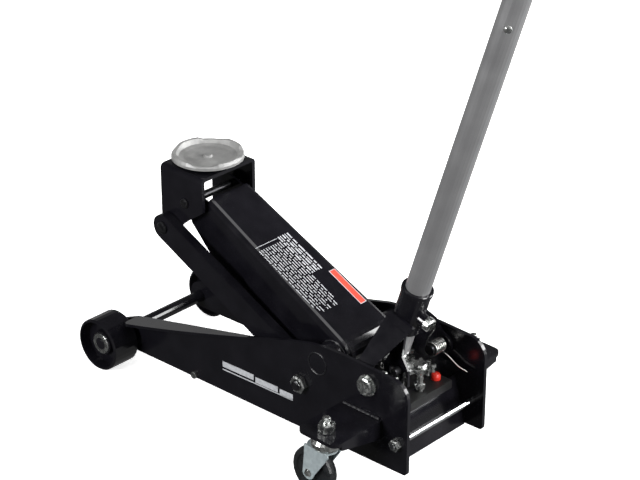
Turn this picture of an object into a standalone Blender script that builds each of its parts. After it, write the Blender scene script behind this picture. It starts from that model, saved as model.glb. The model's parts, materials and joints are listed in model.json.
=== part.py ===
"""Hydraulic trolley jack (floor jack) for lifting one end of a car.

Working frame: X runs from the front rollers to the handle end, Y across, Z up.
Lengths are in millimetres until a mesh is stored; X counts from the front axle.
Every moving group hangs from an empty that sits on its joint axis.
"""
import math

import bmesh
import bpy
from mathutils import Vector

MM = 0.001
GAP = 0.3                     # clearance between touching pieces
HEX = 2.0 / math.sqrt(3.0)    # corner radius of a hexagon over its flat radius
SEGMENTS = 16                 # sides of an ordinary round piece

# Chassis
PLATE_INNER = 84.4            # inner face of a side plate, from the centre plane
PLATE_THICK = 6.0
PLATE_OUTER = PLATE_INNER + PLATE_THICK
PLATE_REAR_X = 613.0
PLATE_REAR_Z = 37.0           # bottom edge at the rear end
PLATE_FRONT_Z = 23.0          # bottom edge under the axle
PLATE_TOP_Z = 190.0
FLANGE_FRONT_X = 32.0         # the turned-out top flange starts behind the roller
FLANGE_FRONT_Z = 85.4
FLANGE_END_X = 301.0
FLANGE_END_Z = 150.0
FLANGE_WIDTH = 30.0
FLANGE_THICK = 5.0
FLANGE_CORNER = 12.0

# Front rollers
ROLLER_R = 44.0
ROLLER_INNER_Y = 98.0
ROLLER_OUTER_Y = 148.0
AXLE_R = 10.0

# Lifting linkage, a parallelogram seen from the side: (x, z) of its four pins
ARM_PIVOT = (434.7, 157.6)
LINK_PIVOT = (400.9, 110.6)
ARM_LENGTH = 346.8
ARM_TILT = math.radians(25.66)
SHAFT_R = 17.5
SLEEVE_R = 23.0
LEVER_PLATES = (36.0, 44.0)
COVER_HALF = (45.0, 56.0)      # half width of the cover at its front and rear
ARM_TOP = 30.0                # top of the cover above the line between the pins
ARM_PIN_R = 6.5
LINK_INNER = 59.6
LINK_OUTER = 76.0
LINK_HALF = 21.0
LINK_PIN_R = 8.0

# Lever under the main shaft, pushed by the ram through a roller
LEVER_R = 60.0
LEVER_ANGLE = math.radians(10.2)
PUSH_ROLLER_R = 10.0
PUSH_PIN_R = 6.0
RAM_Z = 84.0
RAM_R = 15.0
RAM_GAP = 1.2
RAM_LENGTH = 66.0

# Saddle and its bracket
BRACKET_X = (69.0, 161.4)
BRACKET_OUTER = 58.3
BRACKET_THICK = 6.0
BRACKET_TOP_Z = 360.0
SADDLE_X = 116.0
SADDLE_R = 57.5
SADDLE_RIM_Z = 376.4

# Handle socket
SOCKET_PIVOT = (536.0, 162.0)
SOCKET_TILT = math.radians(18.04)
TUBE_OFFSET = -26.3           # handle axis ahead of the socket pivot
SOCKET_R = 23.0
SOCKET_BORE = 19.4
CLAMP_Z = 85.6                # clamp bolt above the pivot, along the socket
EAR_INNER = 78.0
EAR_THICK = 5.4
BOLT_R = 8.0
BOLT_INNER_END = {-1.0: 53.0, 1.0: 47.0}   # left one clears the pump, right one carries the spring

# Handle
HANDLE_R = 19.0
HANDLE_BORE = 16.5
HANDLE_SPLIT = 672.0
NECK_LENGTH = 108.0            # of the upper tube, inside the lower one
JOINT_SCREW = 601.0
HANDLE_TOP = 1215.0
GRIP_R = 22.5

# Release gears: the mesh point lies on the socket pivot, so pumping keeps the mesh
HANDLE_GEAR_TEETH = 12
VALVE_GEAR_TEETH = 10
HANDLE_GEAR_PITCH = -TUBE_OFFSET
VALVE_GEAR_PITCH = 22.0
VALVE_X = SOCKET_PIVOT[0] + VALVE_GEAR_PITCH

# Power unit
BLOCK_X = (485.0, 551.0)
BLOCK_HALF = 38.0
BLOCK_Z = (50.0, 110.0)
MANIFOLD_X = (488.0, 576.0)
MANIFOLD_TOP = 124.0
MANIFOLD_HALF = 54.0
PUMP_Y = -44.0
LUG_Y = (-34.2, -29.8)         # plate that carries the pump roller
PUMP_RADIUS = 12.0            # pump roller from the socket pivot
PUMP_ROLLER_R = 6.0

# Casters
CASTER_X = 525.0
CASTER_Y = 167.0
CASTER_TRAIL = 23.4
CASTER_R = 38.2
CASTER_HALF = 9.5
BRACKET_EDGE_Y = 190.5
SHELF_X = (485.0, 564.0)
SHELF_TOP = 113.0
SHELF_THICK = 6.0
FORK_TOP = 85.6

TIE_ROD = (593.3, 84.3)
TIE_ROD_R = 5.0
FRONT_ROD = (168.0, 32.0)
FRONT_ROD_R = 3.5

HANDLE_TOP_X = (SOCKET_PIVOT[0] + (TUBE_OFFSET + GRIP_R) * math.cos(SOCKET_TILT)
                + (HANDLE_TOP + 2.0) * math.sin(SOCKET_TILT))
MID_X = (HANDLE_TOP_X - ROLLER_R) / 2.0


# ---------------------------------------------------------------- helpers

def clear_scene():
    for obj in list(bpy.data.objects):
        bpy.data.objects.remove(obj, do_unlink=True)


def material(name, colour, roughness, metallic):
    mat = bpy.data.materials.new(name)
    mat.use_nodes = True
    shader = mat.node_tree.nodes["Principled BSDF"]
    shader.inputs["Base Color"].default_value = (*colour, 1.0)
    shader.inputs["Roughness"].default_value = roughness
    shader.inputs["Metallic"].default_value = metallic
    return mat


def frame(name, x=0.0, y=0.0, z=0.0, tilt=0.0, parent=None):
    """An empty on a joint axis; tilt leans its local Z towards +X."""
    empty = bpy.data.objects.new(name, None)
    bpy.context.scene.collection.objects.link(empty)
    shift = 0.0 if parent else MID_X
    empty.parent = parent
    empty.location = ((x - shift) * MM, y * MM, z * MM)
    empty.rotation_euler = (0.0, tilt, 0.0)
    return empty


def store(name, bm, owner, mat, sharp=35.0):
    """Turn a bmesh in millimetres into a named object under its frame."""
    bmesh.ops.recalc_face_normals(bm, faces=bm.faces[:])
    bmesh.ops.scale(bm, vec=(MM, MM, MM), verts=bm.verts[:])
    mesh = bpy.data.meshes.new(name)
    bm.to_mesh(mesh)
    bm.free()
    mesh.shade_smooth()
    mesh.set_sharp_from_angle(angle=math.radians(sharp))
    obj = bpy.data.objects.new(name, mesh)
    obj.parent = owner
    bpy.context.scene.collection.objects.link(obj)
    if mat:
        mesh.materials.append(mat)
    return obj


def boolean(obj, tool, operation):
    tool.hide_render = True
    tool.display_type = "WIRE"
    step = obj.modifiers.new(operation.title() + "_" + tool.name, "BOOLEAN")
    step.operation = operation
    step.solver = "EXACT"
    step.object = tool
    return obj


def arc(cx, cz, radius, start, end, steps):
    """Points on an arc, angles in degrees from +X towards +Z."""
    points = []
    for i in range(steps + 1):
        angle = math.radians(start + (end - start) * i / steps)
        points.append((cx + radius * math.cos(angle), cz + radius * math.sin(angle)))
    return points


def place(axis, a, b, h):
    """A point from two coordinates across the axis and one along it."""
    if axis == "Y":
        return (a, h, b)
    if axis == "X":
        return (h, a, b)
    return (a, b, h)


def prism(outline, low, high, axis="Y", bm=None):
    """A flat outline pushed along an axis."""
    bm = bm or bmesh.new()
    bottom = [bm.verts.new(place(axis, a, b, low)) for a, b in outline]
    top = [bm.verts.new(place(axis, a, b, high)) for a, b in outline]
    bm.faces.new(bottom)
    bm.faces.new(top)
    count = len(outline)
    for i in range(count):
        j = (i + 1) % count
        bm.faces.new((bottom[i], bottom[j], top[j], top[i]))
    return bm


def box(x, y, z, bm=None):
    return prism([(x[0], z[0]), (x[1], z[0]), (x[1], z[1]), (x[0], z[1])], y[0], y[1], "Y", bm)


def lathe(profile, centre=(0.0, 0.0), axis="Y", segments=SEGMENTS, bm=None, rise=None):
    """Turn a closed (radius, height) profile; radius 0 makes a pole."""
    bm = bm or bmesh.new()
    rings = []
    for radius, height in profile:
        if radius <= 0.0:
            rings.append([bm.verts.new(place(axis, centre[0], centre[1], height))])
            continue
        ring = []
        for k in range(segments):
            angle = 2.0 * math.pi * k / segments
            lift = rise(radius, height, angle) if rise else 0.0
            a = centre[0] + radius * math.cos(angle)
            b = centre[1] + radius * math.sin(angle)
            ring.append(bm.verts.new(place(axis, a, b, height + lift)))
        rings.append(ring)
    pairs = list(zip(rings, rings[1:]))
    if len(rings[0]) > 1 or len(rings[-1]) > 1:
        pairs.append((rings[-1], rings[0]))
    for first, second in pairs:
        if len(first) == 1 and len(second) == 1:
            continue
        for k in range(segments):
            n = (k + 1) % segments
            if len(first) == 1:
                bm.faces.new((first[0], second[n], second[k]))
            elif len(second) == 1:
                bm.faces.new((first[k], first[n], second[0]))
            else:
                bm.faces.new((first[k], first[n], second[n], second[k]))
    return bm


def rod(radius, low, high, centre=(0.0, 0.0), axis="Y", segments=SEGMENTS, bm=None, chamfer=1.0):
    profile = [(0.0, low), (radius - chamfer, low), (radius, low + chamfer),
               (radius, high - chamfer), (radius - chamfer, high), (0.0, high)]
    return lathe(profile, centre, axis, segments, bm)


def ring(inner, outer, low, high, centre=(0.0, 0.0), axis="Y", segments=SEGMENTS, chamfer=0.8):
    profile = [(inner, low), (outer - chamfer, low), (outer, low + chamfer),
               (outer, high - chamfer), (outer - chamfer, high), (inner, high)]
    return lathe(profile, centre, axis, segments)


def plate_from(polygons, inner, thick, side):
    """A bent plate: polygons share corners, inner(z) gives the inner face's distance."""
    bm = bmesh.new()
    corners = {}

    def corner(point, outer):
        key = (round(point[0], 3), round(point[1], 3), outer)
        if key not in corners:
            offset = inner(point[1]) + (thick if outer else 0.0)
            corners[key] = bm.verts.new((point[0], side * offset, point[1]))
        return corners[key]

    edges = {}
    for polygon in polygons:
        bm.faces.new([corner(p, False) for p in polygon])
        bm.faces.new([corner(p, True) for p in polygon])
        for i, p in enumerate(polygon):
            q = polygon[(i + 1) % len(polygon)]
            key = frozenset((p, q))
            edges[key] = None if key in edges else (p, q)
    for pair in edges.values():
        if pair:
            p, q = pair
            bm.faces.new((corner(p, False), corner(q, False), corner(q, True), corner(p, True)))
    return bm


def stack(profile, side, centre, axis="Y", segments=SEGMENTS, bm=None):
    """A turned piece on one side of the centre plane; heights count outwards."""
    return lathe([(r, side * h) for r, h in profile], centre, axis, segments, bm)


def turned(x, z, tilt):
    """Local (x, z) from a frame that leans by tilt, seen in chassis directions."""
    return (x * math.cos(tilt) + z * math.sin(tilt), -x * math.sin(tilt) + z * math.cos(tilt))


def into_local(x, z, tilt):
    return (x * math.cos(tilt) - z * math.sin(tilt), x * math.sin(tilt) + z * math.cos(tilt))


# ---------------------------------------------------------------- derived places

LINK_OFFSET = (ARM_PIVOT[0] - LINK_PIVOT[0], ARM_PIVOT[1] - LINK_PIVOT[1])
_arm_reach = turned(-ARM_LENGTH, 0.0, ARM_TILT)
ARM_PIN = (ARM_PIVOT[0] + _arm_reach[0], ARM_PIVOT[1] + _arm_reach[1])
LINK_PIN = (ARM_PIN[0] - LINK_OFFSET[0], ARM_PIN[1] - LINK_OFFSET[1])
LEVER_END = (-LEVER_R * math.sin(LEVER_ANGLE), -LEVER_R * math.cos(LEVER_ANGLE))
LEVER_LOCAL = into_local(*LEVER_END, ARM_TILT)
RAM_TIP_X = ARM_PIVOT[0] + LEVER_END[0] + PUSH_ROLLER_R + RAM_GAP
PUMP_ROLLER = (SOCKET_PIVOT[0] + PUMP_RADIUS * math.cos(math.radians(30.0)),
               SOCKET_PIVOT[1] + PUMP_RADIUS * math.sin(math.radians(30.0)))
SIDES = (("left", -1.0), ("right", 1.0))


# ---------------------------------------------------------------- chassis

def side_plate_outline():
    outline = arc(0.0, 46.0, 46.0 - PLATE_FRONT_Z, 270.0, 120.0, 8)
    outline += [(FLANGE_FRONT_X, FLANGE_FRONT_Z - 0.5), (FLANGE_END_X, FLANGE_END_Z - 0.5),
                (370.0, 172.5), (420.0, 186.0), (449.0, 190.5), (481.0, 192.0),
                (540.0, 191.0)]
    outline += arc(583.0, PLATE_TOP_Z - 30.0, 30.0, 90.0, 0.0, 6)
    outline += arc(PLATE_REAR_X - 6.0, PLATE_REAR_Z + 6.0, 6.0, 0.0, -90.0, 3)
    return outline


def flange_width(x):
    along = (x - FLANGE_FRONT_X) / (FLANGE_END_X - FLANGE_FRONT_X)
    width = FLANGE_WIDTH * (1.0 - along ** 1.6)
    lead = x - FLANGE_FRONT_X
    if lead < FLANGE_CORNER:
        rest = FLANGE_CORNER - lead
        width -= FLANGE_CORNER - math.sqrt(FLANGE_CORNER ** 2 - rest ** 2)
    return width


def side_flange(side):
    """The turned-out top flange, widest just behind the roller."""
    bm = bmesh.new()
    stations = [FLANGE_FRONT_X + FLANGE_CORNER * (1.0 - math.cos(math.radians(a)))
                for a in (0, 25, 50, 70, 90)]
    stations += [FLANGE_FRONT_X + FLANGE_CORNER + i * 31.875 for i in range(1, 9)]
    slope = (FLANGE_END_Z - FLANGE_FRONT_Z) / (FLANGE_END_X - FLANGE_FRONT_X)
    previous = None
    for x in stations:
        top = FLANGE_FRONT_Z + slope * (x - FLANGE_FRONT_X)
        inner = side * (PLATE_INNER + 0.5)
        outer = side * (PLATE_OUTER - 0.4 + max(flange_width(min(x, FLANGE_END_X)), 0.0))
        section = [bm.verts.new(p) for p in ((x, inner, top), (x, outer, top),
                                             (x, outer, top - FLANGE_THICK),
                                             (x, inner, top - FLANGE_THICK))]
        if previous:
            for i in range(4):
                j = (i + 1) % 4
                bm.faces.new((previous[i], previous[j], section[j], section[i]))
        else:
            bm.faces.new(section)
        previous = section
    bm.faces.new(previous)
    return bm


def build_side_plates(chassis, paint):
    holes = bmesh.new()
    for radius, centre in ((AXLE_R, (0.0, ROLLER_R)), (SHAFT_R, ARM_PIVOT),
                           (LINK_PIN_R, LINK_PIVOT), (BOLT_R, SOCKET_PIVOT),
                           (TIE_ROD_R, TIE_ROD), (FRONT_ROD_R, FRONT_ROD)):
        rod(radius + GAP, -140.0, 140.0, centre, "Y", 24, holes, 0.1)
    drill = store("side_plate_holes", holes, chassis, None)
    for name, side in SIDES:
        web = prism(side_plate_outline(), side * PLATE_INNER, side * PLATE_OUTER)
        plate = store("side_plate_" + name, web, chassis, paint)
        flange = store("flange_of_" + name + "_plate", side_flange(side), chassis, None)
        boolean(plate, flange, "UNION")
        boolean(plate, drill, "DIFFERENCE")


def build_cross_members(chassis, paint, chrome, zinc):
    rear, top, lean = 579.0, 109.8, 20.0
    low = PLATE_REAR_Z - 2.0
    outline = [(rear, low), (rear - lean, top), (rear - lean - 6.2, top), (rear - 6.2, low)]
    reach = PLATE_INNER - GAP
    store("rear_cross_plate", prism(outline, -reach, reach), chassis, paint)
    end = PLATE_OUTER + 11.0
    store("rear_tie_rod", rod(TIE_ROD_R, -end, end, TIE_ROD, "Y", 20), chassis, chrome)
    face, head = PLATE_OUTER + GAP, 11.0 / math.sqrt(3.0)
    bolt = [(0.0, -face - 4.6), (head - 1.0, -face - 4.6), (head, -face - 3.6), (head, -face),
            (FRONT_ROD_R, -face), (FRONT_ROD_R, face), (head, face), (head, face + 3.6),
            (head - 1.0, face + 4.6), (0.0, face + 4.6)]
    store("front_tie_bolt", lathe(bolt, FRONT_ROD, "Y", 12), chassis, zinc)


def build_tie_rod_nuts(chassis, zinc):
    for name, side in SIDES:
        radius = 17.0 / math.sqrt(3.0)
        bore = (TIE_ROD_R + GAP) * HEX
        profile = [(bore, PLATE_OUTER + GAP), (radius, PLATE_OUTER + GAP),
                   (radius, PLATE_OUTER + 7.4), (radius - 1.6, PLATE_OUTER + 8.6),
                   (bore, PLATE_OUTER + 8.6)]
        store("tie_rod_nut_" + name, stack(profile, side, TIE_ROD, "Y", 6), chassis, zinc)


def build_front_axle(chassis, paint, zinc):
    end = ROLLER_OUTER_Y - 6.0
    store("front_axle", rod(AXLE_R, -end, end, (0.0, ROLLER_R)), chassis, paint)
    for name, side in SIDES:
        clip = [(AXLE_R + GAP, 138.3), (18.0, 138.3), (18.0, 140.0), (17.0, 141.0),
                (AXLE_R + GAP, 141.0)]
        store("axle_clip_" + name, stack(clip, side, (0.0, ROLLER_R)), chassis, zinc)


def build_front_rollers(paint):
    low, high = ROLLER_INNER_Y, ROLLER_OUTER_Y
    bore = AXLE_R + 0.4
    profile = [(bore, low + 1.0), (20.0, low + 1.0), (21.0, 110.0), (38.0, 112.0), (39.5, low),
               (42.5, low), (ROLLER_R, low + 1.8), (ROLLER_R, high - 1.8), (42.5, high),
               (39.5, high), (37.5, 131.0), (22.0, 131.0), (20.0, 138.0), (bore, 138.0)]
    for name, side in SIDES:
        spin = frame("front_roller_frame_" + name, 0.0, 0.0, ROLLER_R)
        body = stack(profile, side, (0.0, 0.0), "Y", 32)
        store("front_roller_" + name, body, spin, paint)


def build_bolts(chassis, zinc, steel):
    """Link pivot bolts with their nuts, and the socket pivot bolts."""
    for name, side in SIDES:
        profile = [(0.0, LINK_INNER - 4.0), (11.0, LINK_INNER - 4.0), (11.0, LINK_INNER - 0.5),
                   (LINK_PIN_R, LINK_INNER - 0.5), (LINK_PIN_R, LINK_OUTER + 0.6),
                   (13.0, LINK_OUTER + 0.6), (13.0, PLATE_INNER - GAP), (LINK_PIN_R, PLATE_INNER - GAP),
                   (LINK_PIN_R, PLATE_OUTER + 13.4), (LINK_PIN_R - 1.3, PLATE_OUTER + 14.4),
                   (0.0, PLATE_OUTER + 14.4)]
        store("link_pivot_bolt_" + name, stack(profile, side, LINK_PIVOT), chassis, steel)
        radius = 26.0 / math.sqrt(3.0)
        bore = (LINK_PIN_R + GAP) * HEX
        nut = [(bore, PLATE_OUTER + GAP), (radius - 0.6, PLATE_OUTER + GAP),
               (radius, PLATE_OUTER + 1.2), (radius, PLATE_OUTER + 8.6),
               (radius - 2.0, PLATE_OUTER + 10.0), (bore, PLATE_OUTER + 10.0)]
        store("link_pivot_nut_" + name, stack(nut, side, LINK_PIVOT, "Y", 6), chassis, zinc)
        head = 25.0 / math.sqrt(3.0)
        end = BOLT_INNER_END[side]
        bolt = [(0.0, end), (BOLT_R - 1.0, end), (BOLT_R, end + 1.0),
                (BOLT_R, PLATE_OUTER + GAP), (17.0, PLATE_OUTER + GAP), (17.0, PLATE_OUTER + 2.6),
                (head, PLATE_OUTER + 2.6), (head, PLATE_OUTER + 9.0),
                (head - 2.2, PLATE_OUTER + 10.5), (0.0, PLATE_OUTER + 10.5)]
        store("socket_pivot_bolt_" + name, stack(bolt, side, SOCKET_PIVOT, "Y", 18), chassis, zinc)


# ---------------------------------------------------------------- casters

def build_caster_bracket(name, side, chassis, paint):
    """A shelf with turned-down front and rear lips that deepen towards the plate."""
    root = PLATE_OUTER + GAP
    bottom = SHELF_TOP - SHELF_THICK
    corner = 14.0
    far = BRACKET_EDGE_Y
    plan = [(SHELF_X[0], root), (SHELF_X[1], root)]
    plan += arc(SHELF_X[1] - corner, far - corner, corner, 0.0, 90.0, 4)
    plan += arc(SHELF_X[0] + corner, far - corner, corner, 90.0, 180.0, 4)
    shelf = prism([(x, side * y) for x, y in plan], bottom, SHELF_TOP, "Z")
    body = store("caster_bracket_" + name, shelf, chassis, paint)
    lips = bmesh.new()
    lip = [(side * root, SHELF_TOP - 0.4), (side * (far - corner), SHELF_TOP - 0.4),
           (side * (far - corner), SHELF_TOP - 13.0), (side * root, SHELF_TOP - 32.0)]
    prism(lip, SHELF_X[1] - 5.5, SHELF_X[1] - 0.2, "X", lips)
    prism(lip, SHELF_X[0] + 0.2, SHELF_X[0] + 5.5, "X", lips)
    boolean(body, store("lips_of_" + name + "_bracket", lips, chassis, None), "UNION")
    hole = rod(6.4, SHELF_TOP - 20.0, SHELF_TOP + 10.0, (CASTER_X, side * CASTER_Y), "Z", 20, None, 0.1)
    boolean(body, store("stud_hole_" + name, hole, chassis, None), "DIFFERENCE")


def build_caster_hardware(name, side, chassis, zinc):
    """A kingpin with its swivel race, held by a nut on top of the bracket."""
    centre = (CASTER_X, side * CASTER_Y)
    low, shelf = FORK_TOP, SHELF_TOP - SHELF_THICK
    pin = [(0.0, low - 7.4), (9.0, low - 7.4), (9.0, low - 3.8), (6.0, low - 3.8), (6.0, low + GAP),
           (19.0, low + GAP), (23.0, low + 6.0), (23.0, low + 13.0), (19.0, shelf - GAP),
           (6.0, shelf - GAP), (6.0, SHELF_TOP + 23.0), (4.8, SHELF_TOP + 24.0), (0.0, SHELF_TOP + 24.0)]
    store("caster_kingpin_" + name, lathe(pin, centre, "Z", 20), chassis, zinc)
    radius = 23.0 / math.sqrt(3.0)
    bore = 6.3 * HEX
    nut = [(bore, SHELF_TOP + GAP), (radius - 0.6, SHELF_TOP + GAP), (radius, SHELF_TOP + 1.2),
           (radius, SHELF_TOP + 13.0), (radius - 2.0, SHELF_TOP + 14.5), (bore, SHELF_TOP + 14.5)]
    store("caster_nut_" + name, lathe(nut, centre, "Z", 6), chassis, zinc)


def build_caster_fork(name, side, zinc, rubber):
    swivel = frame("caster_swivel_frame_" + name, CASTER_X, side * CASTER_Y, 0.0)
    inner, outer = CASTER_HALF + 2.5, CASTER_HALF + 5.5
    axle_z = CASTER_R
    low, top = FORK_TOP - 3.5, FORK_TOP
    crown = arc(-15.0, 0.0, 18.0, 120.0, 240.0, 6) + arc(0.0, 0.0, 18.0, -60.0, 60.0, 6)
    fork = store("caster_fork_" + name, prism(crown, low, top, "Z"), swivel, zinc)
    cheeks = bmesh.new()
    outline = [(14.8, top - 0.3), (14.8, top - 8.0)]
    outline += arc(-CASTER_TRAIL, axle_z, 11.0, -10.0, -170.0, 7)
    outline += [(-31.2, top - 14.0), (-31.2, top - 0.3)]
    for near, far in ((inner, outer), (-outer, -inner)):
        prism(outline, near, far, "Y", cheeks)
    boolean(fork, store("cheeks_of_" + name + "_fork", cheeks, swivel, None), "UNION")
    holes = rod(4.3, -40.0, 40.0, (-CASTER_TRAIL, axle_z), "Y", 16, None, 0.1)
    rod(6.4, low - 5.0, top + 5.0, (0.0, 0.0), "Z", 16, holes, 0.1)
    boolean(fork, store("holes_of_" + name + "_fork", holes, swivel, None), "DIFFERENCE")
    axle = [(0.0, -outer - 3.0), (4.5, -outer - 3.0), (6.5, -outer - GAP), (4.0, -outer - GAP),
            (4.0, outer + GAP), (6.5, outer + GAP), (4.5, outer + 3.0), (0.0, outer + 3.0)]
    store("caster_axle_" + name, lathe(axle, (-CASTER_TRAIL, axle_z), "Y", 16), swivel, zinc)
    spin = frame("caster_wheel_frame_" + name, -CASTER_TRAIL, 0.0, axle_z, 0.0, swivel)
    half = CASTER_HALF
    tyre = [(4.4, -half), (12.0, -half), (14.0, -half + 2.5), (27.0, -half + 2.5), (29.0, -half),
            (CASTER_R - 3.0, -half), (CASTER_R - 0.6, -half + 2.6), (CASTER_R, -2.5), (CASTER_R, 2.5),
            (CASTER_R - 0.6, half - 2.6), (CASTER_R - 3.0, half), (29.0, half), (27.0, half - 2.5),
            (14.0, half - 2.5), (12.0, half), (4.4, half)]
    store("caster_wheel_" + name, lathe(tyre, (0.0, 0.0), "Y", 24), spin, rubber)


# ---------------------------------------------------------------- lifting arm

def lever_outline():
    """A plate round the main shaft and the lever pin."""
    heading = math.degrees(math.atan2(LEVER_LOCAL[1], LEVER_LOCAL[0]))
    outline = arc(0.0, 0.0, 28.5, heading + 90.0, heading + 270.0, 8)
    return outline + arc(*LEVER_LOCAL, 14.0, heading - 90.0, heading + 90.0, 6)


def cover_stations():
    """(x, z, slope angle, half width, wall depth) along the arm, rolled down at the rear."""
    front, rear = -317.0, 0.0
    stations = []
    for x, depth in ((front, 44.0), (-300.0, 49.0), (-270.0, 52.0), (-238.0, 55.0), (-205.0, 64.0),
                     (-180.0, 74.0), (-156.0, 81.0), (-125.0, 83.0), (-70.0, 80.0), (-40.0, 66.0),
                     (-14.0, 44.0)):
        half = COVER_HALF[0] + (COVER_HALF[1] - COVER_HALF[0]) * (x - front) / (rear - front)
        stations.append((x, ARM_TOP, 0.0, half, depth))
    for angle, depth in ((0.0, 26.0), (18.0, 16.0), (40.0, 13.0), (62.0, 12.0), (84.0, 11.5)):
        turn = math.radians(angle)
        x = 22.0 * math.sin(turn)
        z = ARM_TOP - 22.0 + 22.0 * math.cos(turn)
        stations.append((x, z, turn, COVER_HALF[1], depth))
    return stations


def cover_section(half, depth):
    """Across the arm: (y, drop) round a channel whose walls step in under the shoulders."""
    sheet, shoulder, step = 3.5, 9.0, 2.6
    skirt = min(20.0, depth - 2.5)
    bends = (0.0, 0.5, 1.05, math.pi / 2)
    outer = [(-half + step, -depth), (-half + step, -skirt - 1.6), (-half, -skirt)]
    outer += [(-half + shoulder - shoulder * math.cos(a), -shoulder + shoulder * math.sin(a))
              for a in bends]
    inside = shoulder - sheet
    inner = [(-half + step + sheet, -depth), (-half + step + sheet, -shoulder - 1.0)]
    inner += [(-half + shoulder - inside * math.cos(a), -shoulder + inside * math.sin(a))
              for a in bends[1:]]
    outer += [(-y, drop) for y, drop in reversed(outer)]
    inner += [(-y, drop) for y, drop in reversed(inner)]
    return outer + inner[::-1]


def arm_channel():
    """A formed sheet channel with rounded shoulders."""
    bm = bmesh.new()
    previous = None
    for x, z, turn, half, depth in cover_stations():
        section = []
        for y, drop in cover_section(half, depth):
            spot = (x + drop * math.sin(turn), y, z + drop * math.cos(turn))
            section.append(bm.verts.new(spot))
        if previous:
            count = len(section)
            for i in range(count):
                j = (i + 1) % count
                bm.faces.new((previous[i], previous[j], section[j], section[i]))
        else:
            bm.faces.new(section)
        previous = section
    bm.faces.new(previous)
    return bm


def build_arm(paint, steel):
    arm = frame("lift_arm_frame", ARM_PIVOT[0], 0.0, ARM_PIVOT[1], ARM_TILT)
    body = store("lift_arm", arm_channel(), arm, paint)
    sleeve = rod(SLEEVE_R, -84.0, 84.0, (0.0, 0.0), "Y", 24, None, 0.6)
    boolean(body, store("arm_pivot_sleeve", sleeve, arm, None), "UNION")
    plates, ears = bmesh.new(), bmesh.new()
    inner = arc(-ARM_LENGTH, 0.0, 17.0, 90.0, 245.0, 6)
    inner += [(-331.0, -37.0), (-311.0, -44.0), (-292.0, -51.5), (-267.0, -60.0), (-230.0, -69.0),
              (-180.0, -76.0), (-125.0, -78.0), (-70.0, -72.0), (-40.0, -58.0), (-22.0, -38.0),
              (-22.0, 21.0), (-322.0, 21.0)]
    for side in (-1.0, 1.0):
        prism(lever_outline(), side * LEVER_PLATES[0], side * LEVER_PLATES[1], "Y", plates)
        prism(inner, side * 38.4, side * 42.0, "Y", ears)
    boolean(body, store("arm_lever_plates", plates, arm, None), "UNION")
    boolean(body, store("arm_inner_plates", ears, arm, None), "UNION")
    holes = rod(SHAFT_R + GAP, -90.0, 90.0, (0.0, 0.0), "Y", 24, None, 0.1)
    rod(ARM_PIN_R + GAP, -60.0, 60.0, (-ARM_LENGTH, 0.0), "Y", 16, holes, 0.1)
    rod(PUSH_PIN_R + GAP, -60.0, 60.0, LEVER_LOCAL, "Y", 16, holes, 0.1)
    boolean(body, store("arm_holes", holes, arm, None), "DIFFERENCE")
    near, end = BRACKET_OUTER + GAP, BRACKET_OUTER + 3.6
    pin = [(0.0, -end), (6.5, -end), (8.0, -end + 1.5), (8.0, -near), (ARM_PIN_R, -near),
           (ARM_PIN_R, near), (8.0, near), (8.0, end - 1.5), (6.5, end), (0.0, end)]
    store("arm_front_pin", lathe(pin, (-ARM_LENGTH, 0.0)), arm, steel)
    store("lever_pin", rod(PUSH_PIN_R, -54.5, 54.5, LEVER_LOCAL, "Y", 16), arm, steel)
    store("lever_roller", ring(PUSH_PIN_R + GAP, PUSH_ROLLER_R, -30.0, 30.0, LEVER_LOCAL), arm, steel)


def build_links(paint):
    for name, side in SIDES:
        pivot = frame("link_frame_" + name, LINK_PIVOT[0], 0.0, LINK_PIVOT[1], ARM_TILT)
        outline = arc(-ARM_LENGTH, 0.0, LINK_HALF, 90.0, 270.0, 10)
        outline += arc(0.0, 0.0, LINK_HALF, -90.0, 90.0, 10)
        bar = store("link_" + name, prism(outline, side * LINK_INNER, side * LINK_OUTER), pivot, paint)
        holes = rod(LINK_PIN_R + GAP, side * 50.0, side * 80.0, (0.0, 0.0), "Y", 20, None, 0.1)
        rod(LINK_PIN_R + 0.6, side * 50.0, side * 80.0, (-ARM_LENGTH, 0.0), "Y", 20, holes, 0.1)
        boolean(bar, store("holes_of_link_" + name, holes, pivot, None), "DIFFERENCE")


# ---------------------------------------------------------------- saddle

def bracket_section():
    out, thick, top = BRACKET_OUTER, BRACKET_THICK, BRACKET_TOP_Z - ARM_PIN[1]
    bend, low = 8.0, -72.0
    outer = [(-out, low)] + arc(-out + bend, top - bend, bend, 180.0, 90.0, 4)
    outer += arc(out - bend, top - bend, bend, 90.0, 0.0, 4) + [(out, low)]
    inner = [(out - thick, low)] + arc(out - bend, top - bend, bend - thick, 0.0, 90.0, 3)
    inner += arc(-out + bend, top - bend, bend - thick, 90.0, 180.0, 3) + [(-out + thick, low)]
    return outer + inner


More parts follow.
